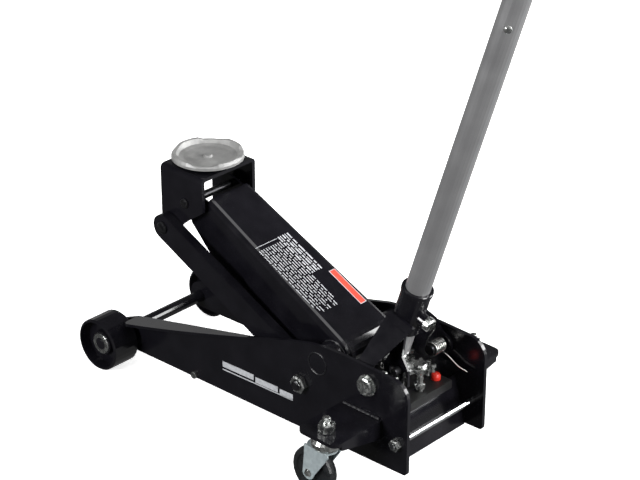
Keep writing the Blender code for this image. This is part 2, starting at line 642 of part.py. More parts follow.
def build_saddle_bracket(paint, steel):
    """An inverted U with cheeks that reach down to the link pins."""
    x0, z0 = ARM_PIN
    pivot = frame("saddle_bracket_frame", x0, 0.0, z0)
    rear, front = BRACKET_X[1] - x0, BRACKET_X[0] - x0
    body = store("saddle_bracket", prism(bracket_section(), front, rear, "X"), pivot, paint)
    pin_x, pin_z = -LINK_OFFSET[0], -LINK_OFFSET[1]
    lobe = 19.0
    waste = [(rear + 10.0, -5.4), (rear, -5.4), (3.0, -30.8), (-10.0, -42.0)]
    waste += arc(pin_x, pin_z, lobe, -10.0, -178.0, 8)
    waste += [(front - 10.0, pin_z), (front - 10.0, -90.0), (rear + 10.0, -90.0)]
    trim = prism(waste, -70.0, 70.0)
    boolean(body, store("cheek_trim", trim, pivot, None), "DIFFERENCE")
    holes = rod(ARM_PIN_R + GAP, -70.0, 70.0, (0.0, 0.0), "Y", 24, None, 0.1)
    rod(LINK_PIN_R + GAP, -70.0, 70.0, (pin_x, pin_z), "Y", 24, holes, 0.1)
    rod(8.4, 30.0, 80.0, (SADDLE_X - x0, 0.0), "Z", 24, holes, 0.1)
    boolean(body, store("saddle_bracket_holes", holes, pivot, None), "DIFFERENCE")
    for name, side in SIDES:
        near = BRACKET_OUTER - BRACKET_THICK - GAP
        profile = [(0.0, near - 4.0), (10.0, near - 4.0), (10.0, near), (LINK_PIN_R, near),
                   (LINK_PIN_R, LINK_OUTER + 0.6), (10.0, LINK_OUTER + 0.6), (10.0, LINK_OUTER + 3.0),
                   (8.0, LINK_OUTER + 5.0), (0.0, LINK_OUTER + 5.0)]
        pin = stack(profile, side, (pin_x, pin_z))
        store("link_top_pin_" + name, pin, pivot, steel)


def saddle_rise(radius, height, angle):
    """Four raised pads on the rim, with open notches between them."""
    if radius < SADDLE_R - 9.0 or height < SADDLE_RIM_Z - 4.0:
        return 0.0
    wave = math.cos(4.0 * angle + 0.5)
    return 3.2 * min(max(0.9 + 2.2 * wave, 0.0), 1.0)


def build_saddle(cast, steel):
    """A notched dish whose stem turns in the bracket and is headed underneath."""
    swivel = frame("saddle_frame", SADDLE_X, 0.0, 0.0)
    rim, under = SADDLE_RIM_Z - 3.2, BRACKET_TOP_Z + GAP
    below = BRACKET_TOP_Z - BRACKET_THICK - 0.6
    profile = [(0.0, rim - 2.5), (6.0, rim - 3.0), (8.0, rim - 5.5), (38.0, rim - 5.5),
               (46.0, rim - 4.0), (50.0, rim), (55.5, rim), (SADDLE_R, rim - 2.0),
               (SADDLE_R, rim - 6.0), (50.0, rim - 9.6), (26.0, rim - 10.5), (24.0, under),
               (8.0, under), (8.0, below), (12.0, below), (12.0, below - 4.0), (10.0, below - 6.0),
               (0.0, below - 6.0)]
    body = lathe(profile, (0.0, 0.0), "Z", 40, None, saddle_rise)
    store("saddle", body, swivel, cast)


# ---------------------------------------------------------------- power unit

def build_power_unit(chassis, cast, red, zinc):
    """A cast block with the ram's cylinder below and the pump and valve seats above."""
    half, wide = BLOCK_HALF, MANIFOLD_HALF
    block = store("power_unit_block", box(BLOCK_X, (-half, half), (BLOCK_Z[0], BLOCK_Z[1] + 2.0)),
                  chassis, cast)
    low = BLOCK_Z[1] + 0.4
    deck = box(MANIFOLD_X, (-wide, wide), (low, MANIFOLD_TOP))
    boolean(block, store("power_unit_deck", deck, chassis, None), "UNION")
    holes = rod(RAM_R + 0.4, BLOCK_X[0] - 10.0, BLOCK_X[1] - 2.0, (0.0, RAM_Z), "X", 28, None, 0.1)
    rod(5.4, low + 2.0, MANIFOLD_TOP + 5.0, (PUMP_ROLLER[0], PUMP_Y), "Z", 16, holes, 0.1)
    rod(6.4, low + 2.0, MANIFOLD_TOP + 5.0, (VALVE_X, 0.0), "Z", 16, holes, 0.1)
    boolean(block, store("power_unit_bores", holes, chassis, None), "DIFFERENCE")
    top = MANIFOLD_TOP + GAP
    sleeve = ring(5.4, 8.5, top, top + 14.0, (PUMP_ROLLER[0], PUMP_Y), "Z", 20)
    store("pump_sleeve", sleeve, chassis, zinc)
    plug = [(0.0, top), (7.5, top), (7.5, top + 6.0), (6.0, top + 9.0), (0.0, top + 10.0)]
    store("filler_plug", lathe(plug, (556.0, 40.0), "Z", 20), chassis, red)


def build_ram(chrome):
    """The ram with its crosshead pad, which pushes the lever roller."""
    slide = frame("ram_frame", RAM_TIP_X, 0.0, RAM_Z)
    pad = store("ram_piston", box((0.0, 8.0), (-30.0, 30.0), (-12.0, 30.0)), slide, chrome)
    shaft = rod(RAM_R, 5.0, 8.0 + RAM_LENGTH, (0.0, 0.0), "X", 32)
    boolean(pad, store("ram_shaft", shaft, slide, None), "UNION")


def spiral(start, end, radius, turns, per_turn=10):
    """Points round a straight coil that runs along X, with short hook legs."""
    points = [(start[0] - 6.0, start[1], start[2])]
    steps = turns * per_turn
    for i in range(steps + 1):
        angle = 2.0 * math.pi * i / per_turn
        x = start[0] + (end - start[0]) * i / steps
        points.append((x, start[1] + radius * math.cos(angle), start[2] + radius * math.sin(angle)))
    return points + [(end + 4.0, start[1], start[2])]


def wire(name, points, radius, owner, mat):
    """A round wire along a path of points in millimetres."""
    curve = bpy.data.curves.new(name, "CURVE")
    curve.dimensions = "3D"
    curve.bevel_depth = radius * MM
    curve.bevel_resolution = 0
    curve.use_fill_caps = True
    spline = curve.splines.new("POLY")
    spline.points.add(len(points) - 1)
    for slot, point in zip(spline.points, points):
        slot.co = (*(Vector(point) * MM), 1.0)
    curve.materials.append(mat)
    obj = bpy.data.objects.new(name, curve)
    obj.parent = owner
    bpy.context.scene.collection.objects.link(obj)


def build_return_springs(chassis, steel):
    """Two springs that pull the lever back towards the rear cross plate."""
    x0 = ARM_PIVOT[0] + LEVER_END[0] + PUSH_PIN_R + 9.0
    z0 = ARM_PIVOT[1] + LEVER_END[1]
    for name, side in SIDES:
        hanger = frame("return_spring_frame_" + name, x0, side * 49.5, z0)
        points = spiral((0.0, 0.0, 0.0), 543.0 - x0, 4.2, 13, 8)
        wire("return_spring_" + name, points, 1.4, hanger, steel)


# ---------------------------------------------------------------- socket and handle

def ear_polygons():
    bend = 17.0
    upper = [(-34.0, bend), (-10.0, bend), (4.0, 82.0), (-44.0, 82.0)]
    lower = [(-34.0, bend)] + arc(0.0, 0.0, 17.0, 200.0, 420.0, 8) + [(-10.0, bend)]
    return [upper, lower]


def ear_inner(z):
    """Ears stand by the side plates; above the bend they lean in to meet the tube."""
    return EAR_INNER - max(z - 17.0, 0.0) * 0.877


def build_socket(paint, zinc, steel):
    socket = frame("socket_frame", SOCKET_PIVOT[0], 0.0, SOCKET_PIVOT[1], SOCKET_TILT)
    tube = [(0.0, 52.0), (SOCKET_R, 52.0), (SOCKET_R, 120.0), (24.5, 122.0), (24.5, 128.4),
            (23.6, 129.2), (0.0, 129.2)]
    body = store("handle_socket", lathe(tube, (TUBE_OFFSET, 0.0), "Z", 24), socket, paint)
    for name, side in SIDES:
        ear = plate_from(ear_polygons(), ear_inner, EAR_THICK, side)
        boolean(body, store("ear_of_socket_" + name, ear, socket, None), "UNION")
    lug = [(-32.0, 74.0), (-2.0, 74.0), (6.0, 32.0), (23.8, 17.2), (32.2, -8.4), (-12.5, -23.0),
           (-20.0, 0.0), (-16.0, 24.0)]
    boolean(body, store("pump_lug", prism(lug, *LUG_Y), socket, None), "UNION")
    boss = rod(9.5, -12.0, 6.0, (0.0, CLAMP_Z), "X", 20)
    boolean(body, store("clamp_boss", boss, socket, None), "UNION")
    px, pz = into_local(PUMP_ROLLER[0] - SOCKET_PIVOT[0], PUMP_ROLLER[1] - SOCKET_PIVOT[1], SOCKET_TILT)
    holes = rod(BOLT_R + GAP, -90.0, 90.0, (0.0, 0.0), "Y", 20, None, 0.1)
    rod(SOCKET_BORE, 40.0, 140.0, (TUBE_OFFSET, 0.0), "Z", 24, holes, 0.1)
    rod(5.3, -20.0, 20.0, (0.0, CLAMP_Z), "X", 16, holes, 0.1)
    rod(3.3, -40.0, -25.0, (px, pz), "Y", 12, holes, 0.1)
    boolean(body, store("socket_bores", holes, socket, None), "DIFFERENCE")
    head = 19.0 / math.sqrt(3.0)
    clamp = [(0.0, -6.9), (5.0, -6.9), (5.0, 6.3), (head - 0.5, 6.3), (head, 7.2), (head, 15.0),
             (head - 1.8, 16.5), (0.0, 16.5)]
    store("socket_clamp_bolt", lathe(clamp, (0.0, CLAMP_Z), "X", 18), socket, zinc)
    low, high = LUG_Y
    wheel = [(0.0, low - 12.6), (PUMP_ROLLER_R, low - 12.6), (PUMP_ROLLER_R, low - 0.4),
             (3.0, low - 0.4), (3.0, high + 0.4), (5.0, high + 0.4), (5.0, high + 2.4),
             (0.0, high + 2.4)]
    store("pump_roller", lathe(wheel, (px, pz), "Y", 16), socket, steel)
    return socket


def spring_path():
    """Coils round the right pivot bolt, one leg to the clamp bolt, one to the plate."""
    coil, turns, per_turn = 10.2, 7, 10
    first_y, last_y = 51.0, 75.6
    points = [(9.0, 14.0, CLAMP_Z - 2.0), (10.5, 26.0, 58.0), (13.0, 42.0, 26.0)]
    steps = turns * per_turn
    for i in range(steps + 1):
        angle = -2.0 * math.pi * i / per_turn
        y = first_y + (last_y - first_y) * i / steps
        points.append((coil * math.cos(angle), y, coil * math.sin(angle)))
    points += [(22.0, 75.8, -12.0), (40.0, 75.8, -15.0), (58.0, 75.8, -11.5)]
    return points


def build_torsion_spring(socket, steel):
    wire("torsion_spring", spring_path(), 1.5, socket, steel)


def gear_outline(teeth, pitch, first):
    """Star gear: slim rounded teeth, with wide gaps that let the axes lean."""
    root, tip = pitch - 4.5, pitch + 2.3
    outline = []
    for k in range(teeth):
        middle = first + 2.0 * math.pi * k / teeth
        for radius, half in ((root, 3.6), (pitch, 2.5), (tip, 1.2), (tip, -1.2), (pitch, -2.5),
                             (root, -3.6)):
            angle = middle - half / radius
            outline.append((radius * math.cos(angle), radius * math.sin(angle)))
    return outline


def build_handle(socket, silver, rubber, zinc):
    handle = frame("handle_frame", TUBE_OFFSET, 0.0, 0.0, 0.0, socket)
    split, inner = HANDLE_SPLIT, HANDLE_BORE - GAP
    lower = [(HANDLE_BORE, 9.0), (HANDLE_R, 9.0), (HANDLE_R, split), (HANDLE_BORE, split)]
    tube = store("handle_lower_tube", lathe(lower, (0.0, 0.0), "Z", 24), handle, silver)
    upper = [(inner, split - NECK_LENGTH), (inner, split + 0.2), (HANDLE_R, split + 0.2),
             (HANDLE_R, HANDLE_TOP), (HANDLE_BORE, HANDLE_TOP), (HANDLE_BORE, split + 12.0),
             (inner - 2.5, split + 4.0), (inner - 2.5, split - NECK_LENGTH)]
    outer = store("handle_upper_tube", lathe(upper, (0.0, 0.0), "Z", 24), handle, silver)
    turned_to = frame("joint_screw_frame", 0.0, 0.0, JOINT_SCREW, 0.0, handle)
    turned_to.rotation_euler = (0.0, 0.0, math.radians(-56.0))
    drill = store("joint_screw_hole", rod(3.6, 8.0, 30.0, (0.0, 0.0), "X", 16, None, 0.1), turned_to, None)
    boolean(tube, drill, "DIFFERENCE")
    boolean(outer, drill, "DIFFERENCE")
    screw = [(0.0, 12.6), (3.2, 12.6), (3.2, 19.3), (6.0, 19.3), (5.6, 20.6), (3.2, 21.8), (0.0, 22.2)]
    store("handle_joint_screw", lathe(screw, (0.0, 0.0), "X", 16), turned_to, zinc)
    sleeve = HANDLE_R + GAP
    grip = [(sleeve, HANDLE_TOP - 130.0), (GRIP_R, HANDLE_TOP - 130.0)]
    for k in range(5):
        start = HANDLE_TOP - 115.0 + 22.0 * k
        grip += [(GRIP_R, start), (GRIP_R - 1.3, start + 2.0), (GRIP_R - 1.3, start + 6.0),
                 (GRIP_R, start + 8.0)]
    grip += [(GRIP_R, HANDLE_TOP + 2.0), (GRIP_R - 2.0, HANDLE_TOP + 5.5),
             (GRIP_R - 6.5, HANDLE_TOP + 8.0), (0.0, HANDLE_TOP + 8.0), (0.0, HANDLE_TOP + GAP),
             (sleeve, HANDLE_TOP + GAP)]
    store("handle_grip", lathe(grip, (0.0, 0.0), "Z", 20), handle, rubber)
    gear = store("handle_gear", prism(gear_outline(HANDLE_GEAR_TEETH, HANDLE_GEAR_PITCH, 0.0),
                                      -2.5, 2.5, "Z"), handle, zinc)
    hub = rod(HANDLE_BORE - GAP, 0.0, 26.0, (0.0, 0.0), "Z", 20)
    boolean(gear, store("hub_of_handle_gear", hub, handle, None), "UNION")


def build_release_valve(zinc):
    valve = frame("release_valve_frame", VALVE_X, 0.0, 0.0)
    centre = SOCKET_PIVOT[1]
    first = math.pi + math.pi / VALVE_GEAR_TEETH
    star = prism(gear_outline(VALVE_GEAR_TEETH, VALVE_GEAR_PITCH, first), centre - 2.5, centre + 2.5, "Z")
    gear = store("release_valve", star, valve, zinc)
    stem = [(0.0, 114.0), (6.0, 114.0), (6.0, 126.0), (8.5, 127.0), (8.5, 134.0), (6.0, 136.0),
            (6.0, 152.0), (11.0, 155.0), (11.0, 167.0), (9.0, 169.0), (0.0, 169.0)]
    boolean(gear, store("stem_of_release_valve", lathe(stem, (0.0, 0.0), "Z", 16), valve, None), "UNION")


def build_pump(steel, zinc):
    pump = frame("pump_frame", PUMP_ROLLER[0], PUMP_Y, 0.0)
    top = PUMP_ROLLER[1] - PUMP_ROLLER_R - 0.5
    plunger = [(0.0, 126.0), (4.2, 126.0), (5.0, 127.0), (5.0, top - 4.0), (7.8, top - 4.0),
               (7.8, top - 1.0), (7.0, top), (0.0, top)]
    store("pump_plunger", lathe(plunger, (0.0, 0.0), "Z", 16), pump, zinc)
    low, high, turns, per_turn = MANIFOLD_TOP + 15.7, top - 5.4, 5, 8
    points = []
    for i in range(turns * per_turn + 1):
        angle = 2.0 * math.pi * i / per_turn
        points.append((6.5 * math.cos(angle), 6.5 * math.sin(angle),
                       low + (high - low) * i / (turns * per_turn)))
    wire("pump_spring", points, 0.8, pump, steel)


def main():
    clear_scene()
    paint = material("black_gloss_paint", (0.012, 0.012, 0.014), 0.22, 0.0)
    cast_dark = material("dark_cast_iron", (0.03, 0.03, 0.032), 0.5, 0.6)
    cast_light = material("zinc_cast_saddle", (0.62, 0.62, 0.60), 0.45, 0.7)
    zinc = material("zinc_plate", (0.62, 0.63, 0.62), 0.28, 1.0)
    chrome = material("chrome_rod", (0.75, 0.76, 0.78), 0.1, 1.0)
    steel = material("oiled_steel", (0.10, 0.10, 0.105), 0.35, 0.9)
    spring_steel = material("bright_spring_steel", (0.6, 0.6, 0.6), 0.25, 1.0)
    silver = material("silver_handle_paint", (0.45, 0.46, 0.46), 0.38, 0.5)
    rubber = material("black_rubber", (0.02, 0.02, 0.02), 0.6, 0.0)
    red = material("red_plastic", (0.65, 0.03, 0.02), 0.35, 0.0)

    chassis = frame("chassis_frame")
    build_side_plates(chassis, paint)
    build_cross_members(chassis, paint, chrome, zinc)
    build_tie_rod_nuts(chassis, zinc)
    build_front_axle(chassis, paint, zinc)
    build_front_rollers(paint)
    build_bolts(chassis, zinc, steel)
    shaft_end = PLATE_OUTER
    store("main_pivot_shaft", rod(SHAFT_R, -shaft_end, shaft_end, ARM_PIVOT, "Y", 24), chassis, paint)
    for name, side in SIDES:
        build_caster_bracket(name, side, chassis, paint)
        build_caster_hardware(name, side, chassis, zinc)
        build_caster_fork(name, side, zinc, rubber)
    build_arm(paint, steel)
    build_links(paint)
    build_saddle_bracket(paint, steel)
    build_saddle(cast_light, steel)
    build_power_unit(chassis, cast_dark, red, zinc)
    build_ram(chrome)
    build_return_springs(chassis, spring_steel)
    socket = build_socket(paint, zinc, steel)
    build_torsion_spring(socket, spring_steel)
    build_handle(socket, silver, rubber, zinc)
    build_release_valve(zinc)
    build_pump(spring_steel, zinc)


main()
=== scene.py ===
"""Looks of the trolley jack: materials, small fittings, printed bars, light and camera."""
import json
import math
import random

import bmesh
import bpy
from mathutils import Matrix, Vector


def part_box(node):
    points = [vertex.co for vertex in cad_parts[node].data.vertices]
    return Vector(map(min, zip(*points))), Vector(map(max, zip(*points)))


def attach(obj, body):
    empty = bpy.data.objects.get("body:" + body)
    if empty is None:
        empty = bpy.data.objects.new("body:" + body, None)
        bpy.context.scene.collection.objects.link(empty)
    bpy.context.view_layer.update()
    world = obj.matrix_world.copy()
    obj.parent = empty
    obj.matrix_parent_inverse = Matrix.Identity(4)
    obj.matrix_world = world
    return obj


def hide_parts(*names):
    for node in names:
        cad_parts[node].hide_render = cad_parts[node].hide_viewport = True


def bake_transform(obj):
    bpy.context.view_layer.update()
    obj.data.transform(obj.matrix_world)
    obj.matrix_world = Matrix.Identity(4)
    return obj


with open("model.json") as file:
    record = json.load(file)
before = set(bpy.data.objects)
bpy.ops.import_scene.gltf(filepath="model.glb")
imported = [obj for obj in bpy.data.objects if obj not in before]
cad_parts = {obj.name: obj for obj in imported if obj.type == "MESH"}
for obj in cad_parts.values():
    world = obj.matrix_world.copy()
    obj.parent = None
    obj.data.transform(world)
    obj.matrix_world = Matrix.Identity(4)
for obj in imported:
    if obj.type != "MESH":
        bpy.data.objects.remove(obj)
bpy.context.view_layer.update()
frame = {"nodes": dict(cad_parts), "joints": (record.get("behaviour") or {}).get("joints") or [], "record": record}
NODES = frame["nodes"]
MM = 0.001

PIVOTS = {joint["name"]: joint for joint in frame["joints"]}
SIDES = (("left", -1.0), ("right", 1.0))

# Lengths are metres unless they are multiplied by MM, and angles are degrees.
SHARP_ANGLE = 40.0
SHAFT_FROM_AXLE = 0.4347       # main shaft behind the front axle, along X
PLATE_OUTER = 0.0904           # |Y| of the side plates' outer faces
PRINT_OUTER = 0.09045          # |Y| where the print on them starts
PRINT_THICK = 0.00012
HANDLE_LEAN = 18.04            # the handle's lean to the rear, from upright


def pivot(name):
    return Vector(PIVOTS[name]["pos_m"])


# ---------------------------------------------------------------- materials

def node_tree(name):
    mat = bpy.data.materials.new(name)
    mat.use_nodes = True
    tree = mat.node_tree
    return mat, tree, tree.nodes["Principled BSDF"]


def noise(tree, scale, detail=4.0):
    coords = tree.nodes.new("ShaderNodeTexCoord")
    tex = tree.nodes.new("ShaderNodeTexNoise")
    tex.inputs["Scale"].default_value = scale
    tex.inputs["Detail"].default_value = detail
    tex.inputs["Roughness"].default_value = 0.55
    tree.links.new(coords.outputs["Object"], tex.inputs["Vector"])
    return tex.outputs["Fac"]


def ramp(tree, source, stops):
    node = tree.nodes.new("ShaderNodeValToRGB")
    node.color_ramp.elements[0].position = stops[0][0]
    node.color_ramp.elements[0].color = (*stops[0][1], 1.0)
    node.color_ramp.elements[1].position = stops[-1][0]
    node.color_ramp.elements[1].color = (*stops[-1][1], 1.0)
    for place, colour in stops[1:-1]:
        element = node.color_ramp.elements.new(place)
        element.color = (*colour, 1.0)
    tree.links.new(source, node.inputs["Fac"])
    return node.outputs["Color"]


def spread(tree, source, low, high):
    """The middle of a noise's range, stretched from low to high."""
    node = tree.nodes.new("ShaderNodeMapRange")
    node.inputs["To Min"].default_value = low
    node.inputs["To Max"].default_value = high
    node.inputs["From Min"].default_value = 0.3
    node.inputs["From Max"].default_value = 0.7
    tree.links.new(source, node.inputs["Value"])
    return node.outputs["Result"]


def bump(tree, shader, source, distance, strength=0.6):
    node = tree.nodes.new("ShaderNodeBump")
    node.inputs["Distance"].default_value = distance
    node.inputs["Strength"].default_value = strength
    tree.links.new(source, node.inputs["Height"])
    tree.links.new(node.outputs["Normal"], shader.inputs["Normal"])


def surface(name, dark, light, rough, metallic=0.0, scale=60.0, grain=900.0, depth=0.00003,
            coat=0.0, specular=0.5):
    """Colour that wanders between two shades, uneven gloss and a fine surface grain."""
    mat, tree, shader = node_tree(name)
    broad = noise(tree, scale)
    fine = noise(tree, grain, 3.0)
    tree.links.new(ramp(tree, broad, [(0.3, dark), (0.7, light)]), shader.inputs["Base Color"])
    tree.links.new(spread(tree, broad, *rough), shader.inputs["Roughness"])
    shader.inputs["Metallic"].default_value = metallic
    shader.inputs["Specular IOR Level"].default_value = specular
    shader.inputs["Coat Weight"].default_value = coat
    shader.inputs["Coat Roughness"].default_value = 0.08
    bump(tree, shader, fine, depth)
    return mat


def brushed(name, dark, light, rough, stretch):
    """Metal with fine marks drawn along one direction."""
    mat, tree, shader = node_tree(name)
    coords = tree.nodes.new("ShaderNodeTexCoord")
    mapping = tree.nodes.new("ShaderNodeMapping")
    mapping.inputs["Scale"].default_value = stretch
    tex = tree.nodes.new("ShaderNodeTexNoise")
    tex.inputs["Scale"].default_value = 30.0
    tex.inputs["Detail"].default_value = 6.0
    tree.links.new(coords.outputs["Object"], mapping.inputs["Vector"])
    tree.links.new(mapping.outputs["Vector"], tex.inputs["Vector"])
    marks = tex.outputs["Fac"]
    tree.links.new(ramp(tree, marks, [(0.3, dark), (0.7, light)]), shader.inputs["Base Color"])
    tree.links.new(spread(tree, marks, *rough), shader.inputs["Roughness"])
    shader.inputs["Metallic"].default_value = 1.0
    bump(tree, shader, marks, 0.00002)
    return mat


PAINT = surface("black_enamel", (0.0034, 0.0032, 0.0048), (0.0060, 0.0057, 0.0080),
                (0.14, 0.23), scale=25.0, grain=420.0, depth=0.00005, coat=0.22, specular=0.40)
CAST = surface("cast_block_paint", (0.004, 0.004, 0.0045), (0.009, 0.009, 0.009),
               (0.38, 0.55), scale=90.0, grain=700.0, depth=0.00025, specular=0.35)
ZINC = surface("bright_zinc", (0.46, 0.48, 0.47), (0.76, 0.77, 0.75),
               (0.16, 0.34), metallic=1.0, scale=160.0, grain=1200.0)
FORK_ZINC = surface("blue_white_zinc", (0.40, 0.47, 0.49), (0.56, 0.63, 0.65),
                    (0.30, 0.44), metallic=0.45, scale=110.0, depth=0.00004)
CHROME = brushed("ground_chrome", (0.62, 0.63, 0.65), (0.82, 0.83, 0.84),
                 (0.06, 0.16), stretch=(60.0, 2.0, 60.0))
BLACK_STEEL = surface("black_oxide", (0.016, 0.016, 0.018), (0.05, 0.05, 0.053),
                      (0.28, 0.45), metallic=0.85, scale=140.0, grain=1000.0, depth=0.00004)
WIRE = surface("spring_wire", (0.55, 0.55, 0.54), (0.85, 0.85, 0.83),
               (0.14, 0.26), metallic=1.0, scale=120.0, depth=0.00002)
SADDLE = surface("zinc_cast_saddle", (0.22, 0.22, 0.218), (0.34, 0.34, 0.333),
                 (0.42, 0.60), metallic=0.35, scale=45.0, grain=500.0, depth=0.00020)
HANDLE = surface("silver_handle_enamel", (0.25, 0.25, 0.255), (0.29, 0.29, 0.295),
                 (0.28, 0.36), metallic=0.5, scale=20.0, grain=600.0, depth=0.00005, coat=0.15)
TYRE = surface("hard_black_wheel", (0.008, 0.009, 0.010), (0.018, 0.019, 0.020),
               (0.22, 0.40), scale=70.0, grain=800.0, depth=0.00006, specular=0.35)
GRIP = surface("grip_rubber", (0.012, 0.012, 0.012), (0.024, 0.024, 0.024),
               (0.55, 0.72), scale=90.0, grain=500.0, depth=0.00020, specular=0.35)
RED = surface("red_plug", (0.50, 0.018, 0.010), (0.68, 0.035, 0.02),
              (0.25, 0.38), scale=200.0, depth=0.00004)
INK_WHITE = surface("white_print", (0.36, 0.37, 0.39), (0.52, 0.53, 0.55),
                    (0.40, 0.55), scale=200.0, grain=1500.0, depth=0.00001)
INK_RED = surface("orange_red_print", (0.58, 0.035, 0.02), (0.74, 0.07, 0.035),
                  (0.40, 0.55), scale=200.0, grain=1500.0, depth=0.00001)
WELD = surface("painted_weld", (0.007, 0.007, 0.009), (0.014, 0.014, 0.016),
               (0.22, 0.34), scale=120.0, grain=500.0, depth=0.0002, coat=0.2, specular=0.4)

DRESS = {
    "black_gloss_paint": PAINT, "dark_cast_iron": CAST, "zinc_cast_saddle": SADDLE,
    "zinc_plate": ZINC, "chrome_rod": CHROME, "oiled_steel": BLACK_STEEL,
    "bright_spring_steel": WIRE, "silver_handle_paint": HANDLE, "black_rubber": TYRE,
    "red_plastic": RED,
}
OVERRIDES = {
    "handle_grip": GRIP, "main_pivot_shaft": PAINT, "front_axle": PAINT,
    "caster_fork_left": FORK_ZINC, "caster_fork_right": FORK_ZINC,
}

# Width of each node's softened edges, in millimetres.
BEVELS = {
    "side_plate_left": 0.9, "side_plate_right": 0.9, "rear_cross_plate": 0.9,
    "caster_bracket_left": 1.0, "caster_bracket_right": 1.0, "lift_arm": 0.5,
    "link_left": 1.0, "link_right": 1.0, "saddle_bracket": 0.9, "handle_socket": 0.6,
    "power_unit_block": 2.0, "caster_fork_left": 0.6, "caster_fork_right": 0.6,
    "release_valve": 0.4, "handle_gear": 0.4, "ram_piston": 0.8,
}


def dress_nodes():
    """Give each CAD node its finish, and soften the edges of the formed and cast ones."""
    slots = {item["node"]: item["material_slot"] for item in frame["record"]["subparts"]}
    for name, obj in NODES.items():
        mat = OVERRIDES.get(name, DRESS[slots[name]])
        for slot in obj.material_slots:
            slot.material = mat
        width = BEVELS.get(name)
        if width:
            step = obj.modifiers.new("Edge", "BEVEL")
            step.width = width * MM
            step.segments = 2
            step.limit_method = "ANGLE"
            step.angle_limit = math.radians(SHARP_ANGLE)
            step.harden_normals = False


# ---------------------------------------------------------------- small pieces

def mesh_object(name, bm, mat):
    mesh = bpy.data.meshes.new(name)
    bm.to_mesh(mesh)
    bm.free()
    mesh.materials.append(mat)
    obj = bpy.data.objects.new(name, mesh)
    bpy.context.scene.collection.objects.link(obj)
    return obj


def piece(name, bm, body, mat, smooth=True):
    """A visible piece. It rides on body, unless body is None, when it rides on no body."""
    bmesh.ops.recalc_face_normals(bm, faces=bm.faces[:])
    obj = mesh_object(name, bm, mat)
    if smooth:
        obj.data.shade_smooth()
        obj.data.set_sharp_from_angle(angle=math.radians(SHARP_ANGLE))
    if body:
        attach(obj, body)
    return obj


def slab(bm, origin, along, across, up, length, width, height):
    """A thin raised bar whose near corner is at origin."""
    corners = []
    for h in (0.0, height):
        for a, b in ((0, 0), (length, 0), (length, width), (0, width)):
            corners.append(bm.verts.new(origin + along * a + across * b + up * h))
    faces = ((0, 1, 2, 3), (4, 5, 6, 7), (0, 1, 5, 4), (1, 2, 6, 5), (2, 3, 7, 6), (3, 0, 4, 7))
    for face in faces:
        bm.faces.new([corners[i] for i in face])


def bead(bm, points, radius, closed, sides=8, ripple=0.0):
    """A tube along points: a wire, a thread, or a weld bead with small ripples."""
    count = len(points)
    rings = []
    last_side = None
    for i, point in enumerate(points):
        before = points[(i - 1) % count] if closed or i else point
        after = points[(i + 1) % count] if closed or i < count - 1 else point
        heading = (after - before).normalized()
        side = heading.orthogonal().normalized()
        if last_side is not None:
            side = (last_side - heading * last_side.dot(heading)).normalized()
        last_side = side
        other = heading.cross(side)
        size = radius * (1.0 + ripple * math.sin(i * 1.9))
        rings.append([bm.verts.new(point + (side * math.cos(t) + other * math.sin(t)) * size)
                      for t in (2.0 * math.pi * k / sides for k in range(sides))])
    pairs = list(zip(rings, rings[1:]))
    if closed:
        pairs.append((rings[-1], rings[0]))
    else:
        bm.faces.new(rings[0])
        bm.faces.new(rings[-1])
    for first, second in pairs:
        for k in range(sides):
            n = (k + 1) % sides
            bm.faces.new((first[k], first[n], second[n], second[k]))


def coil(centre, axis, radius, length, turns, per_turn=24):
    """Points round a straight helix that starts at centre and runs along axis."""
    side = axis.orthogonal().normalized()
    other = axis.cross(side)
    steps = int(turns * per_turn)
    points = []
    for i in range(steps + 1):
        angle = 2.0 * math.pi * i / per_turn
        points.append(centre + axis * (length * i / steps)
                      + (side * math.cos(angle) + other * math.sin(angle)) * radius)
    return points


def weld_ring(bm, centre, ring_radius, bead_radius):
    """A weld all the way round a shaft that runs across the jack."""
    axis = Vector((0, 1, 0))
    side = axis.orthogonal().normalized()
    other = axis.cross(side)
    count, turn, ripple = 44, 2.0 * math.pi, 0.14
    points = [centre + (side * math.cos(turn * i / count)
                        + other * math.sin(turn * i / count)) * ring_radius
              for i in range(count)]
    bead(bm, points, bead_radius, True, 8, ripple)


def add_welds():
    """Welds round the main shaft, along the caster brackets and round the arm's sleeve."""
    shaft = pivot("lift")
    shaft_ring, shaft_bead = 0.0177, 0.0011
    sleeve_end, sleeve_ring, sleeve_bead = 0.0545, 0.0234, 0.0016
    bracket_bead, bracket_ripple = 0.0021, 0.16
    end_gap, sink, lift, spans = 0.004, 0.0012, 0.0010, 26
    for tag, side in SIDES:
        outer = side * PLATE_OUTER
        bm = bmesh.new()
        weld_ring(bm, Vector((shaft.x, outer, shaft.z)), shaft_ring, shaft_bead)
        low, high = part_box("caster_bracket_" + tag)
        run = high[0] - low[0] - 2.0 * end_gap
        line = [Vector((low[0] + end_gap + i * run / spans, outer + side * sink, high[2] + lift))
                for i in range(spans + 1)]
        bead(bm, line, bracket_bead, False, 8, bracket_ripple)
        piece("welds_" + tag, bm, "chassis", WELD)
        bm = bmesh.new()
        weld_ring(bm, Vector((shaft.x, side * sleeve_end, shaft.z)), sleeve_ring, sleeve_bead)
        piece("arm_weld_" + tag, bm, "lift_arm", WELD)


def add_thread(name, base, axis, radius, length):
    """The exposed thread of a stud on the chassis."""
    pitch, sunk, ridge = 0.0015, 0.0001, 0.00045
    bm = bmesh.new()
    bead(bm, coil(base, axis, radius - sunk, length, int(length / pitch), 14), ridge, False, 4)
    piece(name, bm, "chassis", ZINC)


